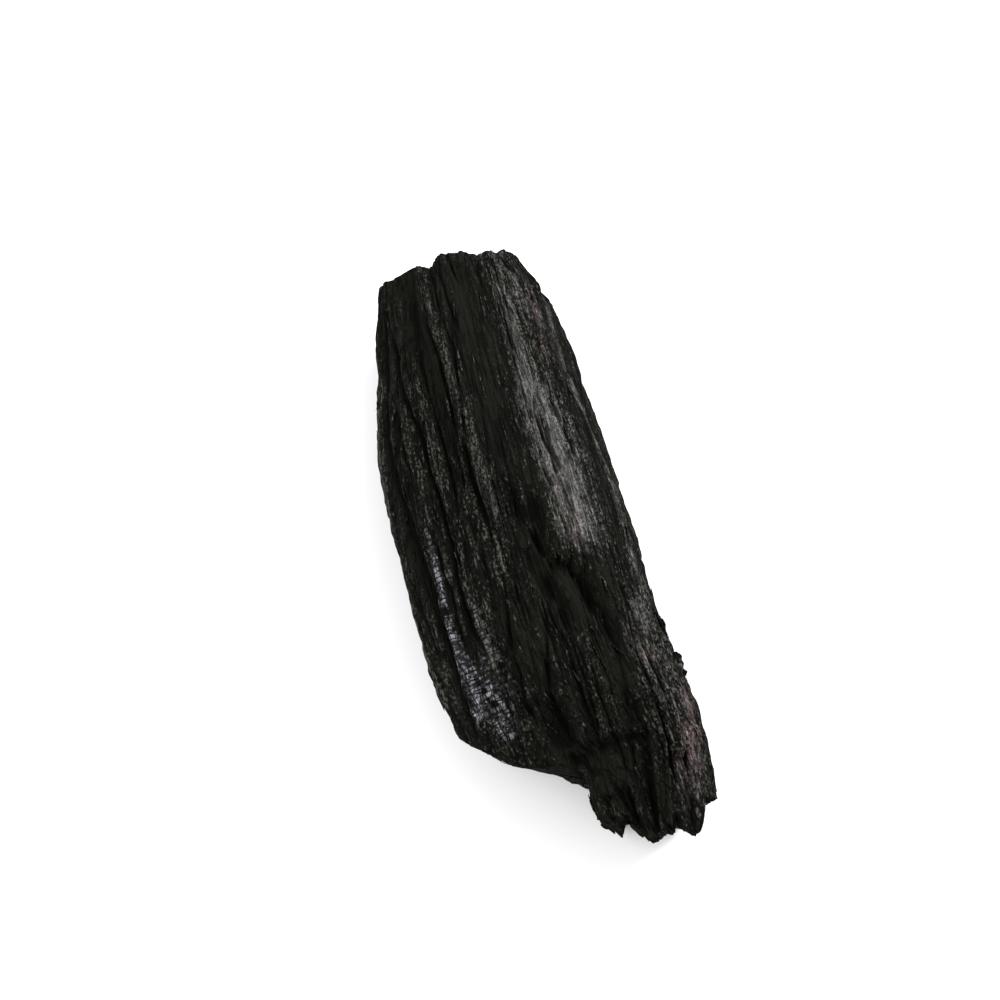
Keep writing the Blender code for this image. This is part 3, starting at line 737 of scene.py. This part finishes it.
# Colours of the painted sheen, far lighter than the char, standing in for light the film reflects.
GREY_PAINTED_SHEEN = (0.064, 0.064, 0.055, 1)
BLUE_PAINTED_SHEEN = (0.19, 0.195, 0.228, 1)
ROSY_PAINTED_SHEEN = (0.110, 0.070, 0.072, 1)
CHAR_ROUGHNESS = 0.8
FILM_SMOOTHS = 0.3
FLECK_SMOOTHS = 0.15
FILM_COAT = 0.4
FLECK_COAT = 0.15
COAT_ROUGHNESS = 0.4
CHAR_SPECULAR = 0.045

charcoal = bpy.data.materials.new("charcoal")
charcoal.use_nodes = True
surface = charcoal.node_tree.nodes["Principled BSDF"]
start = Wire(charcoal.node_tree, None)
straight = start.node("Attribute", {"attribute_name": "grain"}, {}, 1)
sheen, tint, flecked, dusted, depth = (
    start.node("Attribute", {"attribute_name": name}, {}, 2) for name in skin_values)

# Noises and cells of fibre, all drawn out along the grain: how long and how wide, in millimetres.
place = straight.carried(straight.noise(7.0, 2.4), 0.5, 0.5)
clouds = place.noise(14.0, 4.0, 3.0)
streaks = place.noise(24.0, 1.2, 3.0)
rows = place.noise(6.0, 0.75)
blots = place.noise(2.4, 1.5)
grit = place.noise(0.8, 0.56)
fibre_gap = place.cell_edge(2.0, 0.45)
fibre_own = place.cell_own(2.0, 0.45)

# Cracks: long open ones, hairlines, and the small checks that break the film into bricks.
split = 1 - (place.cell_edge(15.0, 2.2) - (clouds - 0.44) * 0.6).rise(0.0, 0.05)
hairline = streaks.line(0.03) * clouds.rise(0.46, 0.54)
checks = place.cell_edge(9.0, 1.5).rise(0.02, 0.10) * place.cell_edge(1.2, 8.0).rise(0.04, 0.16)
pores = fibre_own.rise(0.84, 0.86) * fibre_gap.rise(0.03, 0.08)
# The worm holes are painted dark, as the shade inside them, with a bump for their depth.
holes = sum(straight.round_spot(tuple(swayed(skin_place[nearest(spot)])[[2, 0, 1]]), radius)
            for spot, radius in HOLES)

# Where there is film, and where there are grey flecks: not under soot dust nor in the hollows
# painted in shade, and sooner on a ridge, so ridges are lighter, partly as wear and partly as
# painted highlight.
bare = (1 - depth.rise(0.08, 0.75)) * (1 - dusted) * (1 - holes)
ridge = (depth * -1).rise(0.0, 0.5)
shine = sheen * 1.3 + ((clouds - 0.5) * 0.9 + (streaks - 0.5) * 0.6) * sheen.rise(0.02, 0.2)
shine = shine + (blots - 0.5) * 0.6 + (rows - 0.5) * 0.6 + (grit - 0.5) * 1.1 + (fibre_own - 0.5) * 0.3
bricks = (tint * -1).rise(-0.1, 0.35) * 0.6 + 0.35
film_and_painted_sheen = shine.rise(0.15, 1.0) * (1 - (1 - checks) * bricks) * (1 - pores * 0.7) * bare
film_and_painted_sheen = film_and_painted_sheen * (0.45 + fibre_gap.rise(0.02, 0.13) * 0.65)
amount = flecked * 0.22 - 0.08 + ridge * 0.08 + (rows - 0.5) * 0.45 + (clouds - 0.5) * 0.3
fleck = (grit + amount + (fibre_own - 0.5) * 0.12).rise(0.60, 0.82) * bare
pit = (0.41 - grit + sheen * 0.03 + (rows - 0.5) * 0.2).rise(0.0, 0.06) * (1 - dusted)

# The colour: char, then the soot dust on it, painted shade in its hollows, the flecks, the film
# with its painted sheen, and the cracks.
colour = (rows * 0.8 + fibre_own * 0.35 + grit * 0.6 - 0.45).rise(0.15, 0.75).mixed(SOOT_AND_PAINTED_SHADE, CHAR)
colour = (dusted * 0.9).mixed(colour, DUST)
# Painted shade: the further a point lies below the points round it, the nearer it goes to soot black.
colour = (depth.rise(0.0, 0.7) * 0.95).mixed(colour, SOOT_AND_PAINTED_SHADE)
# Grey flecks: bare fibre ends, and in part painted glints of light on tiny facets.
colour = fleck.mixed(colour, GREY)
hue = tint + (place.noise(5.0, 3.0) - 0.5) * 2.2
# Painted sheen colour: bluish, grey or rosy as the tint goes; the film also lowers roughness and adds coat.
painted_sheen_colour = (hue * -1).rise(0.2, 0.9).mixed(hue.rise(0.1, 1.0).mixed(GREY_PAINTED_SHEEN, ROSY_PAINTED_SHEEN), BLUE_PAINTED_SHEEN)
colour = film_and_painted_sheen.mixed(colour, painted_sheen_colour)
# Cracks and pits darken to soot black, and the holes are painted in as the shade inside them.
dark = (split + hairline + pit * 0.8 + holes).rise(0.0, 1.0)
colour = (dark * 0.92).mixed(colour, SOOT_AND_PAINTED_SHADE)

# The height in millimetres: the fibres, less under soot, and the cracks, pores and holes.
strands = fibre_own * 0.12 + fibre_gap.rise(0.0, 0.15) * 0.05 + grit * 0.42 + blots * 0.35 + streaks * 0.6
height = strands * (1 - dusted * 0.75) - split * 0.3 - hairline * 0.3 + checks * (0.05 + sheen * 0.1)
height = height - pores * 0.1 - holes * HOLE_DEPTH
varied = {
    "Base Color": colour,
    "Normal": start.node("Bump", {}, {"Height": height * MM, "Strength": 1.0, "Distance": 1.0}),
    "Roughness": CHAR_ROUGHNESS - film_and_painted_sheen * FILM_SMOOTHS - fleck * FLECK_SMOOTHS,
    "Coat Weight": film_and_painted_sheen * FILM_COAT + fleck * FLECK_COAT,
}
for name, value in varied.items():
    charcoal.node_tree.links.new(value.socket, surface.inputs[name])
surface.inputs["Specular IOR Level"].default_value = CHAR_SPECULAR
surface.inputs["Coat Roughness"].default_value = COAT_ROUGHNESS
mesh.materials.append(charcoal)
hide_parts("charcoal_lump")
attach(lump, "root")

# The splinters
# Slivers of char, half split off, lie along the grain with one end lifted, over all but the
# underside, and hang on by a few fibres. A few long ones edge the cracks. Lengths are in rings of
# the skin.
SPLINTERS = 300
SPLINTER_LENGTHS = (3, 10)
SPLINTER_HALF_WIDTHS = (0.15, 0.42)
SPLINTER_LIFTS = (0.1, 0.55)
SPLINTER_THICKNESS = 0.55
SPLINTER_POINT = 0.6
CLEAR_OF_SKIN = 0.05
CLEAR_OF_FAR_END = 4
CLEAR_OF_NEAR_END = 6
CROWD_TO_NEAR_END = 0.8
SPLINTER_LOOK = {"sheen": 0.1, "tint": 0.0, "flecked": 0.9, "dusted": 0.0, "sunk": -0.2}
LONG_SPLINTERS = [
    ((49, 108), 8),
    ((32, 62), 5),
    ((-22, 60.5), 8),
    ((34, 65), 4),
    ((44, 86), 7),
    ((20, 40), 7),
]
LONG_HALF_WIDTH = 0.3
LONG_LIFT = 0.4
LOWEST_SPLINTER = 7
ROUND_SPLINTER = 6
STATIONS = 7
dice = np.random.default_rng(14)
lengthwise = np.gradient(rings, axis=0)
crosswise = np.roll(rings, -1, 1) - np.roll(rings, 1, 1)
outward = np.cross(crosswise, lengthwise)
outward /= np.linalg.norm(outward, axis=2, keepdims=True)
crosswise /= np.linalg.norm(crosswise, axis=2, keepdims=True)


def splinters(row, column, length, half_width, lift):
    """The points of slivers, each a tube of oval section along a column of the skin: its half width
    runs as w sin(pi s)^0.6 from one end to the other, and it lifts by a share of s^2."""
    count = len(row)
    s = np.linspace(0, 1, STATIONS)
    s = np.where(dice.random(count)[:, None] < 0.5, s, s[::-1])
    place = row[:, None] + np.linspace(0, 1, STATIONS) * length[:, None]
    below = np.floor(place).astype(int)
    part = (place - below)[..., None]
    k = column[:, None]
    middle = rings[below, k] * (1 - part) + rings[below + 1, k] * part
    middle = middle + outward[below, k] * (lift[:, None] * s ** 2 + CLEAR_OF_SKIN)[..., None]
    wide = half_width[:, None] * np.sin(np.pi * np.clip(s, 0.02, 0.98)) ** SPLINTER_POINT
    turn = np.linspace(0, 2 * np.pi, ROUND_SPLINTER, endpoint=False)
    ring_across = crosswise[below, k][:, :, None] * (wide[..., None] * np.cos(turn))[..., None]
    thick = wide[..., None] * SPLINTER_THICKNESS * np.sin(turn)
    return middle[:, :, None] + ring_across + outward[below, k][:, :, None] * thick[..., None]


length = dice.integers(*SPLINTER_LENGTHS, SPLINTERS)
room = FINE["along"] - length - CLEAR_OF_FAR_END - CLEAR_OF_NEAR_END
row = FINE["end"] + CLEAR_OF_FAR_END + dice.random(SPLINTERS) ** CROWD_TO_NEAR_END * room
column = dice.integers(0, per_ring, SPLINTERS)
half_width = dice.uniform(*SPLINTER_HALF_WIDTHS, SPLINTERS)
lift = dice.uniform(*SPLINTER_LIFTS, SPLINTERS)
tubes = splinters(row, column, length, half_width, lift)
tubes = tubes[tubes[..., 2].min(axis=(1, 2)) > LOWEST_SPLINTER]
spots = np.array([nearest(spot) for spot, _ in LONG_SPLINTERS])
length = np.array([rings_long for _, rings_long in LONG_SPLINTERS])
row = spots // per_ring - length / 2
full = np.ones(len(spots))
long_tubes = splinters(row, spots % per_ring, length, LONG_HALF_WIDTH * full, LONG_LIFT * full)
tubes = np.concatenate([tubes, long_tubes])

start_at = np.arange(len(tubes))[:, None, None] * STATIONS * ROUND_SPLINTER
station, k = np.meshgrid(np.arange(STATIONS - 1), np.arange(ROUND_SPLINTER), indexing="ij")
here = start_at + station * ROUND_SPLINTER
after = (k + 1) % ROUND_SPLINTER
corners = [here + k, here + after, here + ROUND_SPLINTER + after, here + ROUND_SPLINTER + k]
quads = np.stack(corners, -1).reshape(-1, 4)
cap = np.arange(ROUND_SPLINTER)
last_station = start_at[:, 0] + (STATIONS - 1) * ROUND_SPLINTER
caps = np.concatenate([start_at[:, 0] + cap[::-1], last_station + cap])


def char_piece(name, piece_points, faces, look):
    """A small piece of the same char on the lump, from points in the form's frame."""
    mesh = bpy.data.meshes.new(name)
    mesh.from_pydata(((piece_points - FORM_ORIGIN) * MM).tolist(), [], faces)
    mesh.shade_smooth()
    mark(mesh, among_fibres(*piece_points.T), look)
    mesh.materials.append(charcoal)
    made = bpy.data.objects.new(name, mesh)
    bpy.context.scene.collection.objects.link(made)
    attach(made, "root")


char_piece("charcoal_splinters", tubes.reshape(-1, 3), quads.tolist() + caps.tolist(), SPLINTER_LOOK)

# The burrs
# Two small clinkered knobs and two raised flakes stand out of the right side, where this lump
# broke from its neighbour. Each is a crumbly blob of the same char, half sunk in the skin.
BURRS = [
    ((42.5, 13), (1.9, 1.4, 1.7), 0.3),
    ((45.5, 11), (1.0, 0.8, 0.9), 0.5),
    ((33, 13), (3.4, 0.5, 0.9), 0.1),
    ((28, 15), (1.6, 0.5, 0.7), 0.0),
]
BURR_LOOK = {"sheen": 0.15, "tint": 0.2, "flecked": 0.6, "dusted": 0.0, "sunk": 0.0}
BURR_LUMPS = [(1.1, 0.35), (0.4, 0.2)]
BURR_SEED = 91
BURR_UP = 22
BURR_ROUND = 36


def burr(spot, half_sizes, stand):
    """A blob of half sizes along, round and outward, on a globe's rings and poles, its radius
    roughened by two noises, standing out of the skin at a spot."""
    up = np.linspace(0, np.pi, BURR_UP)[1:-1, None]
    turn = np.linspace(0, 2 * np.pi, BURR_ROUND, endpoint=False)
    globe = np.stack([0 * turn - np.cos(up), np.sin(up) * np.cos(turn), np.sin(up) * np.sin(turn)], -1)
    globe = np.concatenate([globe.reshape(-1, 3), [[-1, 0, 0], [1, 0, 0]]])
    rough = 1
    for wave, height in BURR_LUMPS:
        rough = rough + height * noise(globe * half_sizes / wave + spot[0], BURR_SEED)
    at = nearest(spot)
    out = outward.reshape(-1, 3)[at]
    ahead = np.array([1.0, 0, 0]) - out * out[0]
    ahead /= np.linalg.norm(ahead)
    axes = np.array([ahead, np.cross(out, ahead), out])
    return (globe * half_sizes * rough[..., None]) @ axes + points[at] + out * stand


burr_points = np.array([burr(*one) for one in BURRS])
burr_faces = [[corner + b * burr_points.shape[1] for corner in face]
              for b in range(len(BURRS)) for face in closed_faces(BURR_UP - 2, BURR_ROUND)]
char_piece("charcoal_burrs", burr_points.reshape(-1, 3), burr_faces, BURR_LOOK)

# The table
# A plain matt white surface, six metres across. The lump lies on it on the flat spots of its
# underside.
TABLE_HALF = 3.0
TABLE_WHITE = (0.93, 0.93, 0.93, 1)
TABLE_ROUGHNESS = 0.95
mesh = bpy.data.meshes.new("table")
mesh.from_pydata([(-TABLE_HALF, -TABLE_HALF, 0), (TABLE_HALF, -TABLE_HALF, 0),
                  (TABLE_HALF, TABLE_HALF, 0), (-TABLE_HALF, TABLE_HALF, 0)], [], [(0, 1, 2, 3)])
table = bpy.data.objects.new("table", mesh)
bpy.context.scene.collection.objects.link(table)
white = bpy.data.materials.new("white_table")
white.use_nodes = True
matt = white.node_tree.nodes["Principled BSDF"]
matt.inputs["Base Color"].default_value = TABLE_WHITE
matt.inputs["Roughness"].default_value = TABLE_ROUGHNESS
mesh.materials.append(white)

# The camera
# It looks down on the lump from its jagged end, a little from the left. Its angles are in degrees,
# and its distance and aim in millimetres in the form's frame.
CAMERA_AZIMUTH = 73
CAMERA_ELEVATION = 62
CAMERA_DISTANCE = 620
CAMERA_AIM = np.array([-15.0, -0.3, 16.0])
CAMERA_LENS = 88
turn = np.radians(CAMERA_AZIMUTH)
tilt = np.radians(CAMERA_ELEVATION)
back = np.array([np.sin(turn) * np.cos(tilt), -np.cos(turn) * np.cos(tilt), np.sin(tilt)])
right = np.array([np.cos(turn), np.sin(turn), 0])
up = np.cross(back, right)
camera = bpy.data.objects.new("camera", bpy.data.cameras.new("camera"))
camera.data.lens = CAMERA_LENS
camera.data.clip_end = 20
eye = (CAMERA_AIM - FORM_ORIGIN + back * CAMERA_DISTANCE) * MM
camera.matrix_world = Matrix(np.vstack([np.column_stack([right, up, back, eye]), [0, 0, 0, 1]]).tolist())
bpy.context.scene.collection.objects.link(camera)
bpy.context.scene.camera = camera

# The light
# A very large soft lamp low behind the right of the lump, another low on its left, and a pale
# room. Each lamp has its place and size in metres and its power in watts.
ROOM_BRIGHTNESS = 0.85
ahead = np.array([-np.sin(turn), np.cos(turn), 0])
LAMPS = [
    ("right_lamp", 0.72 * right + 0.78 * ahead + np.array([0, 0, 0.75]), 1.0, 33.0),
    ("left_lamp", -1.0 * right - 0.4 * ahead + np.array([0, 0, 0.8]), 1.2, 19.0),
]
for name, at, size, power in LAMPS:
    light = bpy.data.objects.new(name, bpy.data.lights.new(name, "AREA"))
    light.data.size = size
    light.data.energy = power
    light.location = at
    light.rotation_euler = Vector(-at).to_track_quat("-Z", "Y").to_euler()
    bpy.context.scene.collection.objects.link(light)
world = bpy.data.worlds.new("dim_room")
world.use_nodes = True
walls = world.node_tree.nodes["Background"]
walls.inputs["Color"].default_value = (1, 1, 1, 1)
walls.inputs["Strength"].default_value = ROOM_BRIGHTNESS
bpy.context.scene.world = world
bpy.context.scene.view_settings.view_transform = "Standard"
